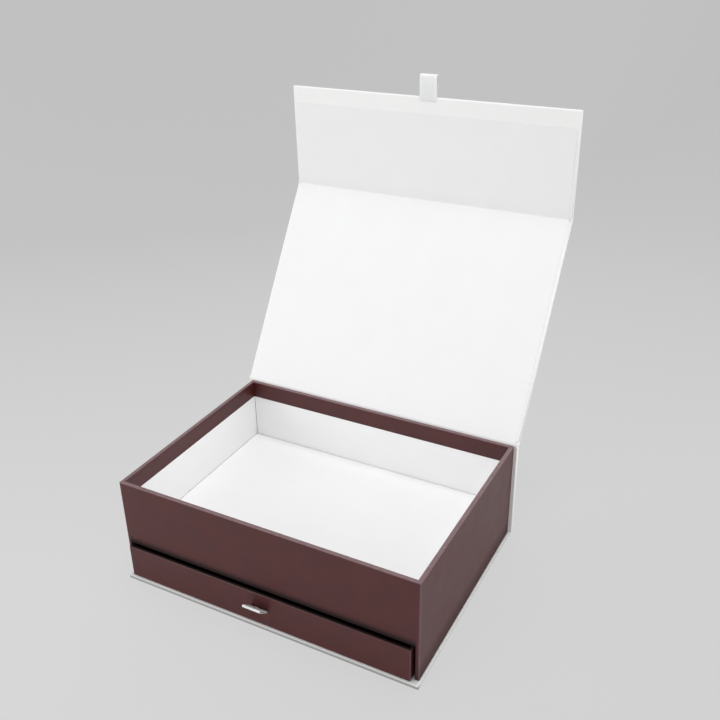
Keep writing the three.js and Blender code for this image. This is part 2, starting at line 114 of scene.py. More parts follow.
class GiftBoxSizes(PropertyGroup):
    """Thicknesses, edges and widths of the boards, papers and ribbons"""

    wall: length_of("Wall", "Thickness of the box walls with their wrap", 3.5)
    wall_edge: length_of("Wall edge", "Rounding of the wrap over the rim and corners", 0.85)
    case_board: length_of("Case board", "Thickness of the wrapped boards of the case", 3.0)
    case_edge: length_of("Case edge", "Rounding of the wrap over a case board's edge", 1.25)
    paper: length_of("Paper", "Thickness of the lining and wrap paper", 0.4)
    glue: length_of("Glue line", "Room between a sheet and its board", 0.1)
    joint_line: length_of("Joint line", "Gap between two neighbouring lining sheets", 0.35)
    turn_in: length_of("Turn-in", "How far the wrap folds down inside the rim", 18.0)
    lining_margin: length_of("Lining margin", "Wrap left showing beside the case lining", 3.0)
    flap_margin: length_of("Flap margin", "Wrap left showing along the flap's free edge", 17.0)
    lid_gap: length_of("Lid gap", "Distance of the lid board from its hinge line", 1.2)
    fold_gap: length_of("Fold gap", "Distance of the lid and flap boards from their fold", 2.2)
    drawer_wall: length_of("Drawer wall", "Thickness of the drawer boards", 2.0)
    drawer_edge: length_of("Drawer edge", "Rounding of the wrap over the drawer's edges", 0.6)
    drawer_rim: length_of("Drawer rim", "Rounding of the wrap over the drawer's rim", 0.95)
    box_build: length_of("Box build-up", "How far the box's front stands out past the frame", 0.2)
    drawer_build: length_of("Drawer build-up", "How far the drawer's front stands out past the frame", 1.1)
    side_build: length_of("Side build-up", "How far the box's right side stands out past the frame", 0.5)
    side_trim: length_of("Side trim", "How far the box's left side is drawn in from the frame", 0.35)
    low_edge: length_of("Low edge", "Rounding of the front wall over the drawer", 3.2)
    low_gap: length_of("Low gap", "How much the rounded edge draws up from the drawer", 1.3)
    # painted shade: how far up from the drawer the front wall's wrap is painted dark
    low_painted_shade: length_of("Low painted shade", "Height of the wrap that the drawer has rubbed dark", 10.0)
    base_left: length_of("Base, left", "How much the base falls short of the lid's left side", 4.5)
    base_right: length_of("Base, right", "How much the base falls short of the lid's right side", 2.0)
    slot_room: length_of("Slot room", "Play of the ribbon in its slot", 0.5)
    ribbon: length_of("Ribbon", "Room that one layer of the satin ribbon takes", 0.55)
    ribbon_width: length_of("Ribbon width", "Width of both ribbons", 18.0)
    flap_loop: length_of("Flap loop", "How far the flap ribbon stands out", 21.5)
    flap_tail: length_of("Flap tail", "How much of the flap ribbon lies on the flap", 4.6)
    flap_tuck: length_of("Flap tuck", "How far down the flap the ribbon's end reaches", 19.0)
    drawer_loop: length_of("Drawer loop", "How far the drawer ribbon stands out", 15.0)
    tail_reach: length_of("Tail reach", "How far each drawer ribbon end spreads", 14.0)
    fold_depth: length_of("Fold depth", "How far the wrap of a fold reaches inwards", 2.2)
    lid_angle: angle_of("Lid angle", "Slope of the open lid above the level", 57.3)
    flap_angle: angle_of("Flap angle", "Slope of the open flap above the level", 91.3)
    edge_steps: IntProperty(
        name="Edge steps", description="Faces across each rounded edge", default=4, min=1, max=12
    )


class GiftBoxColours(PropertyGroup):
    """Colours of the papers, the ribbon and the studio floor"""

    maroon: colour_of("Maroon", "Satin wrap of the box and the drawer", (0.064, 0.0092, 0.0095))
    # the fold colour is partly the wrap stretched pale and partly a painted highlight on rounded edges
    maroon_fold_and_highlight: colour_of("Maroon fold", "The same wrap where a fold stretches it", (0.22, 0.14, 0.148))
    wrap: colour_of("White wrap", "Outer paper of the folding case", (0.865, 0.865, 0.86))
    lining: colour_of("Lid lining", "Matt white paper inside the lid", (0.837, 0.837, 0.843))
    # painted light: the tray's paper is a brighter white than the lid lining, standing in for light in the
    # tray
    tray: colour_of("Tray lining", "Bright white paper inside the tray", (0.95, 0.95, 0.955))
    ribbon: colour_of("Ribbon", "Both ribbon loops", (0.92, 0.915, 0.915))
    floor: colour_of("Floor", "Seamless sheet that the box stands on", (0.66, 0.664, 0.661))


def deselect():
    """Leaves edit mode and lets go of everything."""
    if bpy.context.object and bpy.context.object.mode != "OBJECT":
        bpy.ops.object.mode_set(mode="OBJECT")
    bpy.ops.object.select_all(action="DESELECT")


def hold(piece):
    """Makes one piece the only selected and the active object."""
    deselect()
    piece.select_set(True)
    bpy.context.view_layer.objects.active = piece


def settle(piece):
    """Moves a piece's place into its mesh, so that its object stands at the origin."""
    hold(piece)
    bpy.ops.object.transform_apply(location=True, rotation=True, scale=True)


def add_block(name, low, high):
    """A cuboid between two corners, opened to be shaped."""
    deselect()
    middle = [(a + b) / 2 for a, b in zip(low, high)]
    size = [b - a for a, b in zip(low, high)]
    bpy.ops.mesh.primitive_cube_add(size=1, location=middle)
    block = bpy.context.object
    block.name = block.data.name = name
    block.scale = size
    settle(block)
    shape(block)
    return block


def shape(piece):
    """Opens a piece in edit mode with all of it selected."""
    hold(piece)
    bpy.ops.object.mode_set(mode="EDIT")
    bpy.ops.mesh.select_mode(type="FACE")
    bpy.ops.mesh.select_all(action="SELECT")


def pick(piece, kind, wanted):
    """Selects the faces or edges of the open piece that pass a test on their place."""
    bpy.ops.mesh.select_mode(type=kind)
    bpy.ops.mesh.select_all(action="DESELECT")
    mesh = bmesh.from_edit_mesh(piece.data)
    mesh.normal_update()
    for item in mesh.faces if kind == "FACE" else mesh.edges:
        if wanted(item):
            item.select_set(True)
    bmesh.update_edit_mesh(piece.data)


def slice_across(axis, place):
    """Cuts all of the open piece along a plane square to one axis."""
    normal = [0.0, 0.0, 0.0]
    normal[axis] = 1.0
    point = [place * n for n in normal]
    bpy.ops.mesh.select_all(action="SELECT")
    bpy.ops.mesh.bisect(plane_co=point, plane_no=normal)


def slice_walls(inner_low, inner_high):
    """Cuts the open piece along the inner faces of its four walls."""
    for axis in (0, 1):
        for corner in (inner_low, inner_high):
            slice_across(axis, corner[axis])


def top_between(low, high):
    """A test for the faces that look up and lie between two corners, seen from above."""

    def wanted(face):
        middle = face.calc_center_median()
        inside = all(low[axis] < middle[axis] < high[axis] for axis in (0, 1))
        return face.normal.z > FACING and inside

    return wanted


def push_out(way):
    """Extrudes what is selected of the open piece."""
    bpy.ops.mesh.extrude_region_move(TRANSFORM_OT_translate={"value": way})


def edge_middle(edge):
    return (edge.verts[0].co + edge.verts[1].co) / 2


def edge_width(edge):
    """How far an edge runs along X."""
    return abs(edge.verts[0].co.x - edge.verts[1].co.x)


def join_faces():
    """Joins the flat faces that slicing left apart."""
    bpy.ops.mesh.select_all(action="SELECT")
    bpy.ops.mesh.remove_doubles(threshold=0.000005)
    bpy.ops.mesh.dissolve_limited(angle_limit=math.radians(1))
    bpy.ops.mesh.select_all(action="SELECT")
    bpy.ops.mesh.normals_make_consistent(inside=False)


def is_outer(edge):
    """True for a sharp edge that stands out, not for one in a corner."""
    return len(edge.link_faces) == 2 and edge.calc_face_angle_signed(0.0) > math.radians(SHARP)


def round_edges(piece, radius, steps, wanted=is_outer):
    """Rounds the chosen edges of the open piece and shades the roundings soft."""
    pick(piece, "EDGE", wanted)
    bpy.ops.mesh.bevel(offset=radius, segments=steps, profile=0.5, clamp_overlap=True)
    # a rounding's faces are narrower than its radius
    narrow = radius * 0.9
    pick(piece, "FACE", lambda f: min(e.calc_length() for e in f.edges) < narrow)
    bpy.ops.mesh.faces_shade_smooth()


def finish_shape(piece, material):
    """Closes edit mode and dresses the piece."""
    bpy.ops.object.mode_set(mode="OBJECT")
    piece.data.materials.clear()
    piece.data.materials.append(material)
    deselect()
    return piece


def sweep(name, points, half_width, centre=0.0):
    """A strip of sheet along +X, drawn edge by edge through points in Y and Z."""
    deselect()
    first, second = Vector(points[0]), Vector(points[1])
    middle = (first + second) / 2
    way = second - first
    bpy.ops.mesh.primitive_plane_add(size=1, location=(centre, middle[0], middle[1]))
    strip = bpy.context.object
    strip.name = strip.data.name = name
    strip.scale = (2 * half_width, way.length, 1)
    strip.rotation_euler = (math.atan2(way[1], way[0]), 0, 0)
    settle(strip)
    shape(strip)
    goal = Vector((centre, second[0], second[1]))
    reach = way.length * 0.25
    pick(strip, "EDGE", lambda e: (edge_middle(e) - goal).length < reach)
    last = second
    for point in points[2:]:
        step = Vector(point) - last
        last = Vector(point)
        push_out((0, *step))
    bpy.ops.mesh.select_all(action="SELECT")
    bpy.ops.mesh.remove_doubles(threshold=0.000001)
    bpy.ops.object.mode_set(mode="OBJECT")
    return strip


def soften(piece, angle):
    """Shades a bent sheet soft along its bends and crisp at its cut edges."""
    hold(piece)
    bpy.ops.object.shade_smooth_by_angle(angle=math.radians(angle))


def finish_strip(strip, material, thickness, offset=0.0, angle=SHARP):
    """Thickens a bent strip, half to each side at offset 0 and all to one side at 1."""
    hold(strip)
    solid = strip.modifiers.new("Thickness", "SOLIDIFY")
    solid.thickness = thickness
    solid.offset = offset
    solid.use_even_offset = True
    bpy.ops.object.modifier_apply(modifier=solid.name)
    soften(strip, angle)
    # each point keeps its resting place, so that the paper's grain bends with it
    rest = strip.data.attributes.new("rest", "FLOAT_VECTOR", "POINT")
    for item, vertex in zip(rest.data, strip.data.vertices):
        item.vector = vertex.co
    strip.data.materials.append(material)


def bend_points(start, start_way, end, end_way, steps):
    """Points of a smooth bend between two directions, in Y and Z."""
    fullness = 0.4
    reach = (end - start).length * fullness
    a, b = start + start_way * reach, end - end_way * reach
    made = []
    for i in range(steps + 1):
        t = i / steps
        s = 1 - t
        made.append(start * s**3 + a * (3 * s * s * t) + b * (3 * s * t * t) + end * t**3)
    return made


def slope(angle):
    return Vector((math.cos(angle), math.sin(angle)))


def square(angle):
    """The direction from a board's middle towards its inner face."""
    return Vector((-math.sin(angle), math.cos(angle)))


def on_board(hinge, angle, along, height):
    """A point on a leaning board, from its hinge line."""
    return hinge.yz + slope(angle) * along + square(angle) * height


def board_points(hinge, angle, start, end, height, steps):
    """Even steps along a leaning board, from one distance of its hinge line to another."""
    length = end - start
    return [on_board(hinge, angle, start + length * i / steps, height) for i in range(steps + 1)]


def tip_up(piece, hinge, angle):
    """Stands a board, drawn flat along +Y from the origin, up at its hinge."""
    piece.matrix_world = Matrix.Translation((0, hinge[1], hinge[2])) @ Matrix.Rotation(angle, 4, "X")
    settle(piece)


# Finishes


class Finish:
    """A material whose nodes are added from left to right."""

    def __init__(self, name, roughness, specular=0.5, bends=False):
        self.material = bpy.data.materials.new(name)
        self.material.use_nodes = True
        self.nodes = self.material.node_tree.nodes
        self.links = self.material.node_tree.links
        self.surface = self.nodes["Principled BSDF"]
        self.dress(Roughness=roughness, Specular_IOR_Level=specular)
        if bends:
            self.place = self.add("ShaderNodeAttribute", attribute_name="rest").outputs["Vector"]
        else:
            self.place = self.add("ShaderNodeTexCoord").outputs["Object"]

    def feed(self, socket, value):
        """Links another node's output to a socket, or sets a plain value on it."""
        if isinstance(value, bpy.types.NodeSocket):
            self.links.new(value, socket)
        else:
            socket.default_value = value

    def tune(self, node, **values):
        """Sets a node's properties and feeds its sockets, all by their names."""
        for key, value in values.items():
            if hasattr(node, key):
                setattr(node, key, value)
            else:
                self.feed(node.inputs[key.replace("_", " ")], value)
        return node

    def add(self, kind, **values):
        return self.tune(self.nodes.new(kind), **values)

    def dress(self, **values):
        """Feeds the sockets of the surface shader."""
        self.tune(self.surface, **values)

    def noise(self, scale, detail):
        node = self.add("ShaderNodeTexNoise", Scale=scale, Detail=detail, Vector=self.place)
        return node.outputs["Fac"]

    def between(self, value, low, high, to_low, to_high, smooth=False):
        """Stretches the range from low to high on to another, and goes no further."""
        node = self.add(
            "ShaderNodeMapRange",
            interpolation_type="SMOOTHSTEP" if smooth else "LINEAR",
            Value=value,
            From_Min=low,
            From_Max=high,
            To_Min=to_low,
            To_Max=to_high,
        )
        return node.outputs["Result"]

    def maths(self, operation, a, b=0.0):
        node = self.add("ShaderNodeMath", operation=operation)
        self.feed(node.inputs[0], a)
        self.feed(node.inputs[1], b)
        return node.outputs["Value"]

    def times(self, *shares):
        """The product of all the shares."""
        product = shares[0]
        for share in shares[1:]:
            product = self.maths("MULTIPLY", product, share)
        return product

    def near(self, reach, *planes):
        """1 close to every one of the planes, or pairs of planes about a centre, else 0."""
        shares = []
        for axis, centre, half in planes:
            away = self.maths("ABSOLUTE", self.maths("SUBTRACT", self.axis(axis), centre))
            away = self.maths("ABSOLUTE", self.maths("SUBTRACT", away, half))
            shares.append(self.between(away, 0.0, reach, 1, 0, True))
        return self.times(*shares)

    def within(self, soft, *bands):
        """1 where every axis lies in its band, falling off over a soft border."""
        shares = []
        for axis, low, high in bands:
            place = self.axis(axis)
            for edge, away in ((low, low - soft), (high, high + soft)):
                shares.append(self.between(place, away, edge, 0, 1, True))
        return self.times(*shares)

    def axis(self, name):
        return self.add("ShaderNodeSeparateXYZ", Vector=self.place).outputs[name]

    def mix(self, share, one, other):
        """A colour between two others, by a share that varies over the surface."""
        node = self.add("ShaderNodeMix", data_type="RGBA", Factor=share)
        # sockets 6 and 7 hold the two colours, and output 2 gives their mix
        for socket, value in ((node.inputs[6], one), (node.inputs[7], other)):
            self.feed(socket, value if isinstance(value, bpy.types.NodeSocket) else (*value, 1.0))
        return node.outputs[2]

    def relief(self, *layers):
        """Bumps from (height socket, depth in metres, strength) layers, one on another."""
        under = None
        for height, depth, strength in layers:
            bump = self.add("ShaderNodeBump", Height=height, Distance=depth, Strength=strength)
            if under:
                self.links.new(under, bump.inputs["Normal"])
            under = bump.outputs["Normal"]
        self.dress(Normal=under)


def scaled(colour, factor):
    return tuple(min(1.0, c * factor) for c in colour)


def maroon_satin(name, *folds, painted_shade=None):
    """Dark maroon paper with a satin film: faint mottling, fine tooth, paler folds with painted highlights
    and painted shade.

    A fold is its reach, the strength of its paling and the planes that it lies close to. Its
    paling is partly the wrap stretched over it and partly a painted highlight on a rounded edge.
    The function for the painted shade gives the share by which a place is painted near black
    and made rougher, standing in for shade.
    """
    colours = bpy.context.scene.gift_box_colours
    roughness = 0.44
    made = Finish(name, roughness, 0.45)
    cloud = made.noise(45, 4)
    fibre = made.noise(1600, 3)
    darker, lighter = scaled(colours.maroon, 0.93), scaled(colours.maroon, 1.08)
    base = made.mix(made.between(cloud, 0.35, 0.65, 0, 1, True), darker, lighter)
    speck = made.between(fibre, 0.62, 0.8, 0, 0.1)
    base = made.mix(speck, base, scaled(colours.maroon_fold_and_highlight, 0.8))
    uneven = made.between(made.noise(260, 3), 0.3, 0.7, 0.7, 1.0)
    # each fold is painted paler: partly stretched wrap, partly a painted highlight
    for reach, strength, *planes in folds:
        fold_paling_and_highlight = made.times(made.near(reach, *planes), uneven, strength)
        base = made.mix(fold_paling_and_highlight, base, colours.maroon_fold_and_highlight)
    rough = made.between(cloud, 0.3, 0.7, roughness - 0.03, roughness + 0.03)
    # painted shade: the share darkens towards near black and roughens the satin, so that its reflection
    # fades too
    if painted_shade:
        share = painted_shade(made)
        base = made.mix(share, base, scaled(colours.maroon, 0.15))
        rough = made.maths("ADD", rough, made.times(share, 0.5))
    made.dress(Base_Color=base, Roughness=rough)
    made.relief((made.noise(14, 1), 0.6 * MM, 0.35), (fibre, 0.04 * MM, 0.25))
    return made.material


def white_paper(name, colour, roughness, warp, tooth=0.3, bends=False, under=None, dull=None):
    """Matt white paper: fine tooth, faint clouds, slight waves and what lies under it.

    What lies under it is a function that gives the finish more layers of relief, and the
    function for its painted shade gives the share by which a place is painted darker, standing
    in for shade.
    """
    made = Finish(name, roughness, 0.4, bends)
    cloud = made.noise(30, 3)
    fibre = made.noise(1400, 4)
    darker, lighter = scaled(colour, 0.994), scaled(colour, 1.004)
    base = made.mix(made.between(cloud, 0.35, 0.65, 0, 1, True), darker, lighter)
    base = made.mix(made.between(fibre, 0.25, 0.75, 0, 0.06), base, scaled(colour, 0.8))
    # painted shade: darkens towards 0.4 of the paper's colour
    if dull:
        base = made.mix(dull(made), base, scaled(colour, 0.4))
    rough = made.between(fibre, 0.3, 0.7, roughness - 0.05, roughness + 0.05)
    made.dress(Base_Color=base, Roughness=rough)
    layers = [(made.noise(9, 1), 0.8 * MM, warp), (fibre, 0.05 * MM, tooth)]
    made.relief(*layers, *(under(made) if under else ()))
    return made.material


def case_paper(name, warp=0.2, **looks):
    """The smoother white wrap of the folding case."""
    colours = bpy.context.scene.gift_box_colours
    return white_paper(name, colours.wrap, 0.5, warp, tooth=0.2, **looks)


def disc_print(made, middle, radius):
    """The height of a sheet over a thin disc."""
    away = made.add("ShaderNodeVectorMath", operation="DISTANCE")
    made.feed(away.inputs[0], made.place)
    made.feed(away.inputs[1], middle)
    return made.between(away.outputs["Value"], radius * 0.95, radius * 1.2, 1, 0, True)


def satin_ribbon(name):
    """Woven satin: fine threads along the ribbon, soft unevenness and a faint sheen."""
    colours = bpy.context.scene.gift_box_colours
    made = Finish(name, 0.42, 0.5, bends=True)
    made.dress(
        Sheen_Weight=0.25,
        Sheen_Roughness=0.4,
        Subsurface_Weight=0.6,
        Subsurface_Radius=(1.0, 0.9, 0.9),
        Subsurface_Scale=2 * MM,
    )
    pitch = 0.35 * MM
    thread = made.maths("SINE", made.times(made.axis("X"), 2 * math.pi / pitch))
    wave = made.noise(900, 2)
    darker, lighter = scaled(colours.ribbon, 0.96), scaled(colours.ribbon, 1.02)
    base = made.mix(made.between(wave, 0.3, 0.7, 0, 1), darker, lighter)
    base = made.mix(made.between(thread, -1, 1, 0.12, 0), base, scaled(colours.ribbon, 0.7))
    made.dress(Base_Color=base)
    made.relief((thread, 0.03 * MM, 0.5), (wave, 0.05 * MM, 0.3))
    return made.material


def plated_steel():
    """Bright plating with fine turning marks."""
    made = Finish("plated_steel", 0.28)
    fine = made.noise(2200, 2)
    plate = made.mix(fine, (0.55, 0.56, 0.58), (0.66, 0.67, 0.69))
    made.dress(Base_Color=plate, Metallic=1.0)
    made.relief((fine, 0.02 * MM, 0.3))
    return made.material


def paint(node, material):
    """Gives a piece of the frame its finish."""
    mesh = frame["nodes"][node]
    if mesh.material_slots:
        for slot in mesh.material_slots:
            slot.material = material
    else:
        mesh.data.materials.append(material)


# Pieces


class GIFTBOX_OT_wrap_box(Operator):
    """Fold the maroon walls round the tray and the drawer bay"""

    bl_idname = "giftbox.wrap_box"
    bl_label = "Wrap the box"
    bl_options = {"REGISTER", "UNDO"}

    def execute(self, context):
        sizes = context.scene.gift_box_sizes
        left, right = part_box("left_wall"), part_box("right_wall")
        front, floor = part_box("front_wall"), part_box("tray_floor")
        low = Vector((left[0].x, left[0].y, front[0].z))
        high = Vector(right[1])
        inner_low = low + Vector((sizes.wall, sizes.wall, 0))
        inner_high = high - Vector((sizes.wall, sizes.wall, 0))
        low += Vector((sizes.side_trim, -sizes.box_build, sizes.low_gap))
        high.x += sizes.side_build
        box = add_block("box_wrap", low, high)
        slice_walls(inner_low, inner_high)

        def under_walls(face):
            middle = face.calc_center_median()
            beside = not inner_low.x < middle.x < inner_high.x
            return face.normal.z < -FACING and (beside or middle.y > inner_high.y)

        def over_drawer(edge):
            away = edge_middle(edge) - low
            return edge_width(edge) > inner_high.x and abs(away.y) < MM and abs(away.z) < MM

        # the side and back walls go on down round the drawer bay, and the tray is sunk
        pick(box, "FACE", under_walls)
        push_out((0, 0, left[0].z - low.z))
        pick(box, "FACE", top_between(inner_low, inner_high))
        push_out((0, 0, floor[1].z - high.z))
        join_faces()
        round_edges(box, sizes.low_edge, 2 * sizes.edge_steps, over_drawer)
        round_edges(box, sizes.wall_edge, sizes.edge_steps)
        middle, half = (low + high) / 2, (high - low) / 2

        def painted_shade(made):
            # painted shade: dark over the drawer, fading upwards, and darker towards the base
            front = made.between(made.axis("Y"), low.y + MM, inner_low.y, 1, 0)
            over = made.between(made.axis("Z"), low.z + 2.5 * MM, low.z + sizes.low_painted_shade, 1, 0)
            bay = made.within(1.5 * MM, ("X", inner_low.x, inner_high.x))
            foot = made.between(made.axis("Z"), left[0].z, left[0].z + 20 * MM, 0.55, 0)
            return made.maths("MAXIMUM", made.times(over, over, bay, front), foot)

        # paler rim and upright corners: partly stretched wrap, partly a painted highlight
        rim = (1.2 * MM, 1.0, ("Z", high.z, 0.0))
        corners = (1.8 * MM, 0.55, ("X", middle.x, half.x), ("Y", middle.y, half.y))
        finish_shape(box, maroon_satin("maroon_satin", rim, corners, painted_shade=painted_shade))
        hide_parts("front_wall", "back_wall", "left_wall", "right_wall", "tray_floor")
        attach(box, "case")
        return {"FINISHED"}


class GIFTBOX_OT_line_tray(Operator):
    """Lay the five white sheets in the tray, with a fine line between them"""

    bl_idname = "giftbox.line_tray"
    bl_label = "Line the tray"
    bl_options = {"REGISTER", "UNDO"}

    def execute(self, context):
        sizes = context.scene.gift_box_sizes
        colours = context.scene.gift_box_colours
        # the tray's brighter white is partly painted light
        paper = white_paper("tray_lining", colours.tray, 0.62, warp=0.12)
        gap = sizes.joint_line
        aside = Vector((gap, 0, 0))
        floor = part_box("tray_floor_lining")
        left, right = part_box("tray_left_lining"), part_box("tray_right_lining")
        front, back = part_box("tray_front_lining"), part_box("tray_back_lining")
        soft_edge = 0.4 * (floor[1].z - floor[0].z)
        sheets = {
            "tray_left_lining": left,
            "tray_right_lining": right,
            "tray_front_lining": (front[0] + aside, front[1] - aside),
            "tray_back_lining": (back[0] + aside, back[1] - aside),
            "tray_floor_lining": (
                Vector((left[1].x + gap, front[1].y + gap, floor[0].z)),
                Vector((right[0].x - gap, back[0].y - gap, floor[1].z)),
            ),
        }
        for node, (low, high) in sheets.items():
            sheet = add_block(node.replace("lining", "sheet"), low, high)
            round_edges(sheet, soft_edge, 2)
            finish_shape(sheet, paper)
            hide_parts(node)
            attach(sheet, "case")
        if left[1].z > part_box("left_wall")[1].z - sizes.turn_in + gap:
            raise RuntimeError("the tray lining covers the turned-in wrap")
        return {"FINISHED"}


class GIFTBOX_OT_wrap_case(Operator):
    """Wrap the base, spine, lid and flap boards in white paper"""

    bl_idname = "giftbox.wrap_case"
    bl_label = "Wrap the case boards"
    bl_options = {"REGISTER", "UNDO"}

    def execute(self, context):
        sizes = context.scene.gift_box_sizes
        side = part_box("base_board")[1].x
        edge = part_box("flap_board")[1].z
        tucked = ribbon_tuck(sizes)
        thick = sizes.case_board
        half = thick / 2

        def turned_corners(made):
            # the wrap's turned-in corners meet along slanting seams, and the ribbon lifts it
            slant, seam_width = 1.5, 0.9 * MM
            inwards = made.maths("SUBTRACT", side, made.maths("ABSOLUTE", made.axis("X")))
            down = made.maths("SUBTRACT", edge, made.axis("Z"))
            off = made.maths("ABSOLUTE", made.maths("SUBTRACT", down, made.times(inwards, slant)))
            seam = made.between(off, 0.0, seam_width, 1, 0, True)
            shown = made.between(inwards, 0.0, 4 * sizes.lining_margin, 1, 0)
            ribbon = made.within(1.2 * MM, *tucked)
            return [(made.times(seam, shown), 0.18 * MM, 0.6), (ribbon, 0.2 * MM, 0.7)]

        def dull_edges(made):
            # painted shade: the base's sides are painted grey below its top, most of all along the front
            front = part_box("base_board")[0].y
            share = made.between(made.axis("Y"), front + 1.5 * MM, front + 5 * MM, 1, 0.5)
            low_part = made.between(made.axis("Z"), 0.75 * thick, 0.98 * thick, 1, 0)
            return made.times(low_part, share)

        plain = case_paper("case_wrap")
        papers = {
            "flap_wrap": case_paper("flap_wrap", under=turned_corners),
            "base_wrap": case_paper("base_wrap", dull=dull_edges),
        }

        def board(name, start, end, open_ends):
            """A board that lies flat along +Y, and keeps its edges sharp at the open ends."""
            made = add_block(name, (-side, start, -half), (side, end, half))

            def outer_edges(edge):
                middle = edge_middle(edge)
                at_end = any(abs(middle.y - y) < half * 0.1 for y in open_ends)
                if at_end and edge_width(edge) > side:
                    return False
                # the box's weight presses the base's lower edges flat
                if name == "base_wrap" and middle.z < -half * 0.9:
                    return False
                return is_outer(edge)

            round_edges(made, sizes.case_edge, sizes.edge_steps, outer_edges)
            return finish_shape(made, papers.get(name, plain))

        low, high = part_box("base_board")
        base = board("base_wrap", low.y, high.y, [high.y])
        narrow_base(base, sizes)
        base.location.z = half
        settle(base)
        low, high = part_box("spine_board")
        spine = board("spine_wrap", low.z, high.z, [low.z, high.z])
        tip_up(spine, (0, (low.y + high.y) / 2, 0), math.pi / 2)
        lid_end = LID_REACH - sizes.fold_gap
        lid = board("lid_wrap", sizes.lid_gap, lid_end, [sizes.lid_gap, lid_end])
        tip_up(lid, LID_HINGE, sizes.lid_angle)
        flap = board("flap_wrap", sizes.fold_gap, edge - FLAP_HINGE.z, [sizes.fold_gap])
        tip_up(flap, FLAP_HINGE, sizes.flap_angle)
        for made, node, body in (
            (base, "base_board", "case"),
            (spine, "spine_board", "case"),
            (lid, "lid_board", "lid"),
            (flap, "flap_board", "flap"),
        ):
            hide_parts(node)
            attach(made, body)
        return {"FINISHED"}


def narrow_base(piece, sizes):
    """Draws in the sides of the base, which is a little narrower than the lid."""
    shape(piece)
    for side, inwards in ((-1, sizes.base_left), (1, sizes.base_right)):

        def on_side(face):
            return face.calc_center_median().x * side > 0.1 and abs(face.normal.x) > 0.01

        pick(piece, "FACE", on_side)
        bpy.ops.transform.translate(value=(-side * inwards, 0, 0))
    bpy.ops.object.mode_set(mode="OBJECT")


class GIFTBOX_OT_crease_case(Operator):
    """Bend the outer wrap round the base, the lid's hinge and the flap's fold"""

    bl_idname = "giftbox.crease_case"
    bl_label = "Crease the case"
    bl_options = {"REGISTER", "UNDO"}

    def execute(self, context):
        sizes = context.scene.gift_box_sizes
        wrap = case_paper("crease_wrap", warp=0.3, bends=True)
        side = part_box("base_board")[1].x
        spine_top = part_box("spine_board")[1].yz
        outer = -sizes.case_board / 2
        low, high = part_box("base_crease")
        base_path = [Vector((spine_top[0], low.z + (high.z - low.z) * i / 6)) for i in range(7)]
        lid_angle, flap_angle = sizes.lid_angle, sizes.flap_angle
        hinge_end = on_board(LID_HINGE, lid_angle, sizes.lid_gap, outer)
        hinge_path = bend_points(spine_top, slope(math.pi / 2), hinge_end, slope(lid_angle), 12)
        fold_start = on_board(FLAP_HINGE, lid_angle, -sizes.fold_gap, outer)
        fold_end = on_board(FLAP_HINGE, flap_angle, sizes.fold_gap, outer)
        fold_path = bend_points(fold_start, slope(lid_angle), fold_end, slope(flap_angle), 14)
        for name, node, path in (
            ("base_fold_wrap", "base_crease", base_path),
            ("hinge_wrap", "lid_crease", hinge_path),
            ("flap_fold_wrap", "flap_crease", fold_path),
        ):
            low_fold = node == "base_crease"
            left = side - (sizes.base_left if low_fold else 0)
            right = side - (sizes.base_right if low_fold else 0)
            strip = sweep(name, path, (left + right) / 2, (right - left) / 2)
            finish_strip(strip, wrap, sizes.paper if low_fold else sizes.fold_depth, 1.0)
            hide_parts(node)
            if low_fold:
                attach(strip, "case")
            else:
                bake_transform(strip)
        return {"FINISHED"}


class GIFTBOX_OT_line_case(Operator):
    """Lay the lining over the lid, through both folds and on to the flap"""

    bl_idname = "giftbox.line_case"
    bl_label = "Line the case"
    bl_options = {"REGISTER", "UNDO"}

    def execute(self, context):
        sizes = context.scene.gift_box_sizes
        colours = context.scene.gift_box_colours
        lid_angle, flap_angle = sizes.lid_angle, sizes.flap_angle
        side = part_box("lid_lining")[1].x
        rise = sizes.case_board / 2 + sizes.glue + sizes.paper / 2
        spine_low, spine_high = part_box("spine_board")
        spine_top = Vector((spine_low.y + sizes.paper / 2, spine_high.z))
        hinge_end = on_board(LID_HINGE, lid_angle, sizes.lid_gap, rise)
        hinge_path = bend_points(spine_top, slope(math.pi / 2), hinge_end, slope(lid_angle), 12)
        lid_end = LID_REACH - sizes.fold_gap
        lid_path = board_points(LID_HINGE, lid_angle, sizes.lid_gap, lid_end, rise, 12)
        flap_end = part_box("flap_board")[1].z - FLAP_HINGE.z - sizes.flap_margin
        flap_path = board_points(FLAP_HINGE, flap_angle, sizes.fold_gap, flap_end, rise, 8)
        # the sheet sinks into the groove between the two boards
        sink = math.radians(24)
        fold_start = on_board(FLAP_HINGE, lid_angle, -sizes.fold_gap, rise)
        fold_end = flap_path[0]
        groove = bend_points(fold_start, slope(lid_angle - sink), fold_end, slope(flap_angle + sink), 12)
        tucked = ribbon_tuck(sizes)

        def magnets_and_ribbon(made):
            layers = [(made.within(1.2 * MM, *tucked), 0.2 * MM, 0.8)]
            for node in ("left_magnet", "right_magnet"):
                low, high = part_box(node)
                middle = (low + high) / 2
                along = (middle.yz - FLAP_HINGE.yz).length
                over = on_board(FLAP_HINGE, flap_angle, along, rise)
                height = disc_print(made, (middle.x, *over), (high.x - low.x) / 2)
                layers.append((height, 0.12 * MM, 0.8))
            return layers

        lining = white_paper(
            "case_lining", colours.lining, 0.6, warp=0.12, bends=True, under=magnets_and_ribbon
        )
        sheet = sweep("lid_sheet", lid_path[:-1] + groove + flap_path[1:], side)
        hinge = sweep("hinge_sheet", hinge_path, side)
        for strip in (sheet, hinge):
            finish_strip(strip, lining, sizes.paper)
        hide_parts("lid_lining", "flap_lining", "flap_lining_crease")
        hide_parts("lid_lining_crease")
        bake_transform(sheet)
        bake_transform(hinge)
        for node in ("left_magnet", "right_magnet"):
            paint(node, plated_steel())
        return {"FINISHED"}


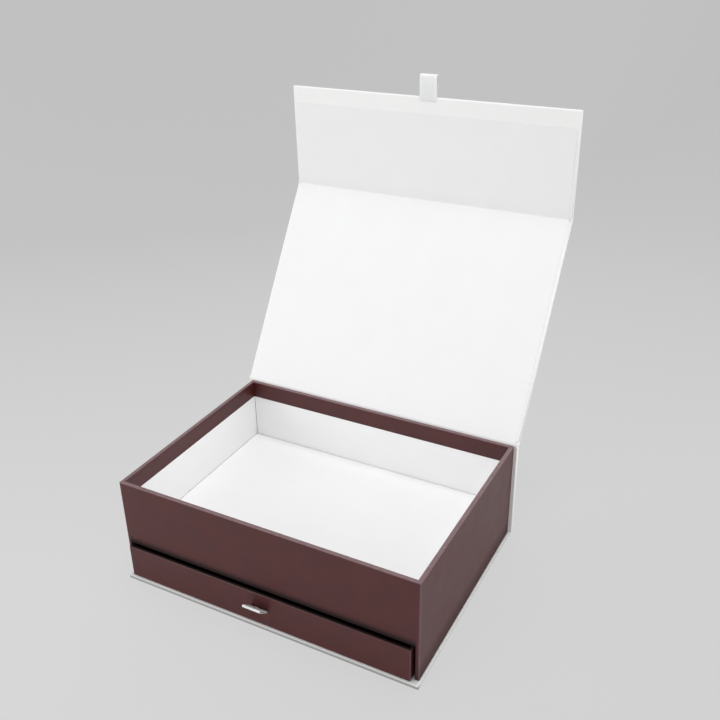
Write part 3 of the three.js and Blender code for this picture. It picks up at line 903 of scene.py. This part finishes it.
class GIFTBOX_OT_make_drawer(Operator):
    """Fold the maroon drawer, cut its ribbon slot and lay its lining"""

    bl_idname = "giftbox.make_drawer"
    bl_label = "Make the drawer"
    bl_options = {"REGISTER", "UNDO"}

    def execute(self, context):
        sizes = context.scene.gift_box_sizes
        front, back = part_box("drawer_front"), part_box("drawer_back")
        low = Vector(front[0])
        high = Vector((front[1].x, back[1].y, front[1].z))
        wall = sizes.drawer_wall
        inner_low = low + Vector((wall, wall, wall))
        inner_high = high - Vector((wall, wall, 0))
        low.y -= sizes.drawer_build
        half_slot = (sizes.ribbon_width + sizes.slot_room) / 2
        slot_rise = sizes.ribbon + sizes.slot_room / 2
        slot_levels = (DRAWER_PULL.z - slot_rise, DRAWER_PULL.z + slot_rise)
        drawer = add_block("drawer_wrap", low, high)
        slice_walls(inner_low, inner_high)
        for place in (DRAWER_PULL.x - half_slot, DRAWER_PULL.x + half_slot):
            slice_across(0, place)
        for place in slot_levels:
            slice_across(2, place)

        def over_slot(face):
            place = face.calc_center_median()
            away = place - DRAWER_PULL
            in_front = abs(face.normal.y) > FACING and place.y < inner_low.y + wall
            return in_front and abs(away.x) < half_slot and abs(away.z) < slot_rise

        def on_rim(edge):
            return is_outer(edge) and edge_middle(edge).z > high.z - 0.1 * MM

        def off_slot(edge):
            return is_outer(edge) and (edge_middle(edge) - DRAWER_PULL).length > 2 * half_slot

        pick(drawer, "FACE", top_between(inner_low, inner_high))
        push_out((0, 0, inner_low.z - high.z))
        # the walls' inner faces are new and whole, so the slot's levels are cut once more
        for place in slot_levels:
            slice_across(2, place)
        pick(drawer, "FACE", over_slot)
        bpy.ops.mesh.bridge_edge_loops()
        join_faces()
        round_edges(drawer, sizes.drawer_rim, sizes.edge_steps, on_rim)
        round_edges(drawer, sizes.drawer_edge, sizes.edge_steps, off_slot)

        def painted_shade(made):
            # painted shade: the rim's top under the wall is painted dark, a little less at its front
            front = made.between(made.axis("Y"), low.y + 0.3 * MM, low.y + 0.8 * MM, 0.3, 1)
            rim = made.between(made.axis("Z"), high.z - 0.5 * MM, high.z - 0.05 * MM, 0, 1)
            return made.times(front, rim)

        middle, half = (low + high) / 2, (high - low) / 2
        # paler rim and front corners: partly stretched wrap, partly a painted highlight
        rim = (0.7 * MM, 0.35, ("Z", high.z, 0.0), ("Y", low.y, 0.0))
        corners = (1.2 * MM, 0.35, ("X", middle.x, half.x), ("Y", low.y, 0.0))
        finish_shape(drawer, maroon_satin("drawer_satin", rim, corners, painted_shade=painted_shade))
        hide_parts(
            "drawer_front",
            "drawer_back",
            "drawer_left_side",
            "drawer_right_side",
            "drawer_bottom",
        )
        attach(drawer, "drawer")
        # the drawer is lined in the maroon wrap: partly a guess at its real colour, partly a painted shade
        # that keeps the slit over the closed drawer black
        paper = maroon_satin("drawer_lining")
        for side in ("front", "back", "left", "right", "floor"):
            paint(f"drawer_{side}_lining", paper)
        for side in ("left", "right"):
            paint(f"{side}_keeper", plated_steel())
        return {"FINISHED"}


def ribbon_tuck(sizes):
    """Where the ribbon's end lies under the flap's wrap, as bands in X and Z."""
    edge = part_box("flap_board")[1].z
    half = sizes.ribbon_width / 2
    return (
        ("X", FLAP_PULL.x - half, FLAP_PULL.x + half),
        ("Z", edge - sizes.flap_tuck, edge - sizes.flap_tail),
    )


def loop_points(root, way_angle, length, spreads, thickness):
    """Middle line of a ribbon loop in Y and Z, from its lower leg round to its upper leg.

    The spreads are how wide the loop is over all at its root and at its tip.
    """
    root_spread, tip_spread = spreads
    way, side = slope(way_angle), square(way_angle)
    outer = (tip_spread - thickness) / 2
    inner = (root_spread - thickness) / 2
    centre = length - tip_spread / 2
    leg_steps, round_steps = 10, 16

    def leg(sign):
        made = []
        for i in range(leg_steps):
            t = i / leg_steps
            ease = t * t * (3 - 2 * t)
            made.append(root + way * (centre * t) + side * sign * (inner + (outer - inner) * ease))
        return made

    round_end = []
    for i in range(round_steps + 1):
        a = -math.pi / 2 + math.pi * i / round_steps
        point = root + way * (centre + outer * math.cos(a)) + side * outer * math.sin(a)
        round_end.append(point)
    return leg(-1) + round_end + leg(1)[::-1]


class GIFTBOX_OT_thread_ribbons(Operator):
    """Thread the satin loops through the drawer front and the flap's free edge"""

    bl_idname = "giftbox.thread_ribbons"
    bl_label = "Thread the ribbons"
    bl_options = {"REGISTER", "UNDO"}

    def execute(self, context):
        sizes = context.scene.gift_box_sizes
        satin = satin_ribbon("satin_ribbon")
        half = sizes.ribbon_width / 2
        # a layer is a little thinner than its room, so that two layers never touch
        layer = sizes.ribbon * 0.9
        # the drawer's loop slants up to the front, and the flap's leans a little off the flap
        drawer_angle = math.radians(180 - 40.5)
        flap_angle = sizes.flap_angle - math.radians(3)
        drawer_root, flap_root = DRAWER_PULL.yz, FLAP_PULL.yz
        # each loop turns over a short stretch at its root, the flap's right at the flap's edge,
        # to pass over the base when closed
        spreads = (1.2 * MM, 2.3 * MM)
        loop = loop_points(drawer_root, drawer_angle, sizes.drawer_loop, spreads, layer)
        pull = sweep("drawer_loop", loop, half, DRAWER_PULL.x)
        spreads = (2.7 * MM, 5 * MM)
        loop = loop_points(flap_root, flap_angle, sizes.flap_loop, spreads, sizes.ribbon)
        # the front leg runs on down the flap's face and dips under its wrap
        down, into = -slope(sizes.flap_angle), -square(sizes.flap_angle)
        turn = 0.6 * MM
        dip = 1.4 * sizes.ribbon
        foot = loop[-1] + down * turn
        loop[-1] = loop[-1] + down * turn / 6
        loop += [foot + down * sizes.flap_tail * t for t in (0.0, 0.3, 0.6, 0.85)]
        loop.append(foot + down * sizes.flap_tail + into * dip)
        tab = sweep("flap_loop", loop, half, FLAP_PULL.x)
        # in the slot one end lies over the other, and behind the front they turn up and down
        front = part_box("drawer_front")
        behind = front[1].y + sizes.glue + sizes.ribbon / 2
        bend = 1.2 * MM
        ends = []
        for name, turn in (("ribbon_end_up", 1), ("ribbon_end_down", -1)):
            level = DRAWER_PULL.z + turn * sizes.ribbon * 0.55
            path = [Vector((front[0].y - bend / 2, level)), Vector((behind - bend, level))]
            corner = Vector((behind, level + turn * bend))
            path += bend_points(path[-1], slope(0), corner, slope(turn * math.pi / 2), 5)[1:]
            path += [corner + Vector((0, turn * sizes.tail_reach * t)) for t in (0.3, 0.6, 0.9)]
            ends.append(sweep(name, path, half, DRAWER_PULL.x))
        for piece in (pull, tab, *ends):
            finish_strip(piece, satin, layer, angle=50)
        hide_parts("drawer_ribbon")
        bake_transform(pull)
        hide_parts("flap_ribbon", "flap_ribbon_tail")
        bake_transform(tab)
        for piece in ends:
            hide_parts("drawer_ribbon_tail")
            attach(piece, "drawer")
        return {"FINISHED"}


# Stage


def camera_matrix(place, yaw, pitch, roll):
    """A camera's matrix from its heading, its downward pitch and its roll, in degrees."""
    heading = Matrix.Rotation(-math.radians(yaw), 4, "Z")
    tilt = Matrix.Rotation(math.radians(90 - pitch), 4, "X")
    lean = Matrix.Rotation(math.radians(roll), 4, "Z")
    return Matrix.Translation(place) @ heading @ tilt @ lean


def soft_light(name, place, target, width, height, power):
    """A lit rectangle that shines on the target and isn't seen itself."""
    lamp = bpy.data.lights.new(name, "AREA")
    lamp.shape = "RECTANGLE"
    lamp.size, lamp.size_y, lamp.energy = width, height, power
    holder = bpy.data.objects.new(name, lamp)
    bpy.context.scene.collection.objects.link(holder)
    holder.location = place
    way = Vector(target) - Vector(place)
    holder.rotation_euler = way.to_track_quat("-Z", "Y").to_euler()
    holder.visible_camera = False


class GIFTBOX_OT_set_stage(Operator):
    """Set the seamless floor, the soft lights and the camera"""

    bl_idname = "giftbox.set_stage"
    bl_label = "Set the stage"
    bl_options = {"REGISTER", "UNDO"}

    def execute(self, context):
        colours = context.scene.gift_box_colours
        # the sheet lies level, bends up far behind the box and ends in an upright
        near_end, level_end, bend_start, top = -1.6, 0.2, 0.9, 2.6
        radius, bend_steps, half_width = 0.7, 18, 2.6
        path = [Vector((y, 0.0)) for y in (near_end, level_end, bend_start)]
        centre = Vector((bend_start, radius))
        for i in range(1, bend_steps + 1):
            a = -math.pi / 2 + math.pi / 2 * i / bend_steps
            path.append(centre + Vector((math.cos(a), math.sin(a))) * radius)
        path += [Vector((bend_start + radius, z)) for z in (2 * radius, top)]
        floor = sweep("studio_floor", path, half_width)
        soften(floor, 30)
        sheet = Finish("studio_sheet", 0.6, 0.2)
        # painted light: the sheet glows, mostly for camera rays, so that no hard shade shows on it, and
        # its glow is painted darker far behind the box and a little to its right, as the studio light
        # falls off
        right, back = sheet.axis("X"), sheet.axis("Y")
        behind = sheet.maths("SUBTRACT", back, sheet.times(right, 0.8))
        darker = sheet.between(behind, 0.05, 1.3, 1, 0.78)
        far = sheet.times(darker, sheet.between(right, -0.15, 0.4, 1, 0.93))
        seen = sheet.add("ShaderNodeLightPath").outputs["Is Camera Ray"]
        own = sheet.between(seen, 0, 1, 0.15, 0.9)
        cloud = sheet.between(sheet.noise(2.5, 2), 0, 1, 0.98, 1.02)
        lit = sheet.times(sheet.maths("SUBTRACT", 1.0, own), cloud)
        sheet.dress(
            Base_Color=sheet.mix(lit, (0, 0, 0), colours.floor),
            Emission_Color=(*colours.floor, 1.0),
            Emission_Strength=sheet.times(own, far),
        )
        floor.data.materials.append(sheet.material)
        soft_light("key_light", (0.12, 0.16, 1.75), (0, 0, 0), 0.4, 0.4, 7.9)
        soft_light("front_fill", (-0.8, -1.35, 0.5), (0, 0, 0.25), 1.2, 0.9, 9.1)
        soft_light("side_fill", (1.5, 0.25, 0.35), (0, 0, 0.05), 1.0, 0.5, 5.8)
        world = bpy.data.worlds.new("studio_air")
        world.use_nodes = True
        air = world.node_tree.nodes["Background"]
        air.inputs["Color"].default_value = (1, 1, 1, 1)
        air.inputs["Strength"].default_value = 0.69
        context.scene.world = world
        lens = bpy.data.cameras.new("camera")
        lens.lens = 44.43
        lens.sensor_width = 36
        lens.clip_start, lens.clip_end = 0.02, 20
        camera = bpy.data.objects.new("camera", lens)
        context.scene.collection.objects.link(camera)
        camera.matrix_world = camera_matrix(
            place=(0.3592, -0.59175, 0.5724), yaw=-28.11, pitch=27.33, roll=-0.86
        )
        context.scene.camera = camera
        context.scene.view_settings.view_transform = "Standard"
        return {"FINISHED"}


STEPS = (
    GIFTBOX_OT_wrap_box,
    GIFTBOX_OT_line_tray,
    GIFTBOX_OT_wrap_case,
    GIFTBOX_OT_crease_case,
    GIFTBOX_OT_line_case,
    GIFTBOX_OT_make_drawer,
    GIFTBOX_OT_thread_ribbons,
    GIFTBOX_OT_set_stage,
)


class GIFTBOX_PT_sidebar(Panel):
    """The box's sizes, colours and making steps"""

    bl_label = "Gift Box"
    bl_space_type = "VIEW_3D"
    bl_region_type = "UI"
    bl_category = "Gift Box"

    def draw(self, context):
        layout = self.layout
        for group in (context.scene.gift_box_sizes, context.scene.gift_box_colours):
            column = layout.column(align=True)
            for key in group.__annotations__:
                column.prop(group, key)
        for step in STEPS:
            layout.operator(step.bl_idname)


CLASSES = (GiftBoxSizes, GiftBoxColours, *STEPS, GIFTBOX_PT_sidebar)


def register():
    for made in CLASSES:
        bpy.utils.register_class(made)
    bpy.types.Scene.gift_box_sizes = PointerProperty(type=GiftBoxSizes)
    bpy.types.Scene.gift_box_colours = PointerProperty(type=GiftBoxColours)


def unregister():
    del bpy.types.Scene.gift_box_colours
    del bpy.types.Scene.gift_box_sizes
    for made in reversed(CLASSES):
        bpy.utils.unregister_class(made)


def main():
    register()
    bpy.ops.giftbox.wrap_box()
    bpy.ops.giftbox.line_tray()
    bpy.ops.giftbox.wrap_case()
    bpy.ops.giftbox.crease_case()
    bpy.ops.giftbox.line_case()
    bpy.ops.giftbox.make_drawer()
    bpy.ops.giftbox.thread_ribbons()
    bpy.ops.giftbox.set_stage()


if __name__ == "__main__":
    main()
